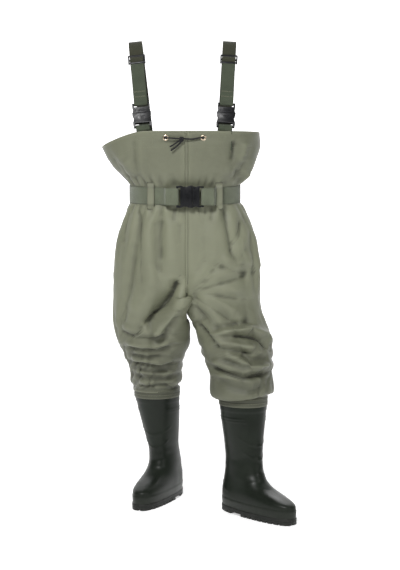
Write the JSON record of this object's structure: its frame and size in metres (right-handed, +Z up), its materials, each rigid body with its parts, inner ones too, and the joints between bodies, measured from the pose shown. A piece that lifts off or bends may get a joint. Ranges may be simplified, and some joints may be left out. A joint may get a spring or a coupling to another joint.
{
  "type": "chest waders",
  "caption": "Bib-and-trouser waders of coated cloth with webbing braces, side-release buckles, a waist belt, a drawcord hem and moulded boots.",
  "frame": {"origin": "centre of the base of the bounding box, on the floor under the boots", "axes": "+Z up; the wearer faces -Y, so +X is the wearer's left"},
  "size_m": [0.5676, 0.4542, 1.3963],
  "materials": {
    "cloth": "matte",
    "cuff": "matte",
    "boot": "satin",
    "sole": "matte",
    "insole": "matte",
    "belt": "matte",
    "webbing": "matte",
    "elastic": "matte",
    "plastic": "satin",
    "brass": "gloss",
    "cord": "matte"
  },
  "bodies": {
    "root": {"front_panel_right": "cloth", "front_panel_left": "cloth", "back_panel_left": "cloth", "back_panel_right": "cloth", "crotch_gusset": "cloth", "thigh_right": "cloth", "thigh_left": "cloth", "knee_right": "cloth", "knee_left": "cloth", "belt_webbing": "belt", "belt_webbing_front": "belt", "belt_buckle_socket": "plastic", "belt_loop_front_right": "cloth", "belt_loop_front_left": "cloth", "belt_loop_back_right": "cloth", "belt_loop_back_left": "cloth", "eyelet_right": "brass", "eyelet_left": "brass", "drawcord_right": "cord", "drawcord_left": "cord", "drawcord_tail_upper": "cord", "drawcord_tail_lower": "cord", "drawcord_knot": "cord", "brace_anchor_front_right": "webbing", "brace_anchor_back_right": "webbing", "brace_anchor_front_left": "webbing", "brace_anchor_back_left": "webbing"},
    "belt_plug": {"belt_buckle_plug": "plastic"},
    "belt_prong_upper": {"belt_prong_upper": "plastic"},
    "belt_prong_lower": {"belt_prong_lower": "plastic"},
    "brace_right": {"brace_strap_right": "webbing", "brace_socket_right": "plastic", "brace_tab_right": "webbing", "brace_strap_front_right": "webbing", "brace_elastic_right": "elastic"},
    "brace_right_plug": {"brace_plug_right": "plastic"},
    "brace_right_slider": {"brace_slider_right": "plastic"},
    "brace_prong_outer_right": {"brace_prong_outer_right": "plastic"},
    "brace_prong_inner_right": {"brace_prong_inner_right": "plastic"},
    "brace_left": {"brace_strap_left": "webbing", "brace_socket_left": "plastic", "brace_tab_left": "webbing", "brace_strap_front_left": "webbing", "brace_elastic_left": "elastic"},
    "brace_left_plug": {"brace_plug_left": "plastic"},
    "brace_left_slider": {"brace_slider_left": "plastic"},
    "brace_prong_outer_left": {"brace_prong_outer_left": "plastic"},
    "brace_prong_inner_left": {"brace_prong_inner_left": "plastic"},
    "shin_right": {"lower_leg_right": "cloth", "cuff_band_right": "cuff", "boot_upper_right": "boot", "insole_right": "insole", "outsole_right": "sole"},
    "shin_left": {"lower_leg_left": "cloth", "cuff_band_left": "cuff", "boot_upper_left": "boot", "insole_left": "insole", "outsole_left": "sole"}
  },
  "joints": [
    {"name": "belt_release", "type": "slide", "parent": "root", "child": "belt_plug", "axis": [1, 0, 0], "range_m": [0, 0.03], "deforming": ["belt_webbing_front"]},
    {"name": "belt_prong_upper_press", "type": "hinge", "parent": "belt_plug", "child": "belt_prong_upper", "pos_m": [-0.01643, -0.09284, 0.95815], "axis": [0, -1, 0], "range_deg": [0, 17.5]},
    {"name": "belt_prong_lower_press", "type": "hinge", "parent": "belt_plug", "child": "belt_prong_lower", "pos_m": [-0.01643, -0.09284, 0.91615], "axis": [0, 1, 0], "range_deg": [0, 17.5]},
    {"name": "brace_right_swing", "type": "hinge", "parent": "root", "child": "brace_right", "pos_m": [-0.15663, 0.03793, 1.126], "axis": [0, -1, 0], "range_deg": [-15, 15], "deforming": ["brace_tab_right", "brace_elastic_right"]},
    {"name": "brace_right_release", "type": "slide", "parent": "brace_right", "child": "brace_right_plug", "axis": [-0.0971, 0.3714, 0.9234], "range_m": [0, 0.03], "deforming": ["brace_strap_front_right"]},
    {"name": "brace_right_adjust", "type": "slide", "parent": "brace_right", "child": "brace_right_slider", "axis": [-0.0971, 0.3714, 0.9234], "range_m": [-0.05, 0.01], "deforming": ["brace_strap_front_right"]},
    {"name": "brace_prong_outer_right_press", "type": "hinge", "parent": "brace_right_plug", "child": "brace_prong_outer_right", "pos_m": [-0.17795, -0.06686, 1.17576], "axis": [-0.0388, -0.9285, 0.3693], "range_deg": [0, 17.5]},
    {"name": "brace_prong_inner_right_press", "type": "hinge", "parent": "brace_right_plug", "child": "brace_prong_inner_right", "pos_m": [-0.14612, -0.06686, 1.17911], "axis": [0.0388, 0.9285, -0.3693], "range_deg": [0, 17.5]},
    {"name": "brace_left_swing", "type": "hinge", "parent": "root", "child": "brace_left", "pos_m": [0.08037, 0.03793, 1.126], "axis": [0, 1, 0], "range_deg": [-15, 15], "deforming": ["brace_tab_left", "brace_elastic_left"]},
    {"name": "brace_left_release", "type": "slide", "parent": "brace_left", "child": "brace_left_plug", "axis": [0.0518, 0.3714, 0.927], "range_m": [0, 0.03], "deforming": ["brace_strap_front_left"]},
    {"name": "brace_left_adjust", "type": "slide", "parent": "brace_left", "child": "brace_left_slider", "axis": [0.0518, 0.3714, 0.927], "range_m": [-0.05, 0.01], "deforming": ["brace_strap_front_left"]},
    {"name": "brace_prong_outer_left_press", "type": "hinge", "parent": "brace_left_plug", "child": "brace_prong_outer_left", "pos_m": [0.09923, -0.06393, 1.17674], "axis": [-0.0207, 0.9285, -0.3708], "range_deg": [0, 17.5]},
    {"name": "brace_prong_inner_left_press", "type": "hinge", "parent": "brace_left_plug", "child": "brace_prong_inner_left", "pos_m": [0.06728, -0.06393, 1.17853], "axis": [0.0207, -0.9285, 0.3708], "range_deg": [0, 17.5]},
    {"name": "knee_right_bend", "type": "hinge", "parent": "root", "child": "shin_right", "pos_m": [-0.13263, 0.07593, 0.481], "axis": [1, 0, 0], "range_deg": [0, 55], "deforming": ["knee_right"]},
    {"name": "knee_left_bend", "type": "hinge", "parent": "root", "child": "shin_left", "pos_m": [0.11037, 0.00492, 0.481], "axis": [1, 0, 0], "range_deg": [0, 55], "deforming": ["knee_left"]}
  ],
  "couplings": [
    {"joint": "belt_prong_upper_press", "follows": "belt_release", "rad_per_m": 10},
    {"joint": "belt_prong_lower_press", "follows": "belt_release", "rad_per_m": 10},
    {"joint": "brace_prong_outer_right_press", "follows": "brace_right_release", "rad_per_m": 10},
    {"joint": "brace_prong_inner_right_press", "follows": "brace_right_release", "rad_per_m": 10},
    {"joint": "brace_prong_outer_left_press", "follows": "brace_left_release", "rad_per_m": 10},
    {"joint": "brace_prong_inner_left_press", "follows": "brace_left_release", "rad_per_m": 10}
  ]
}
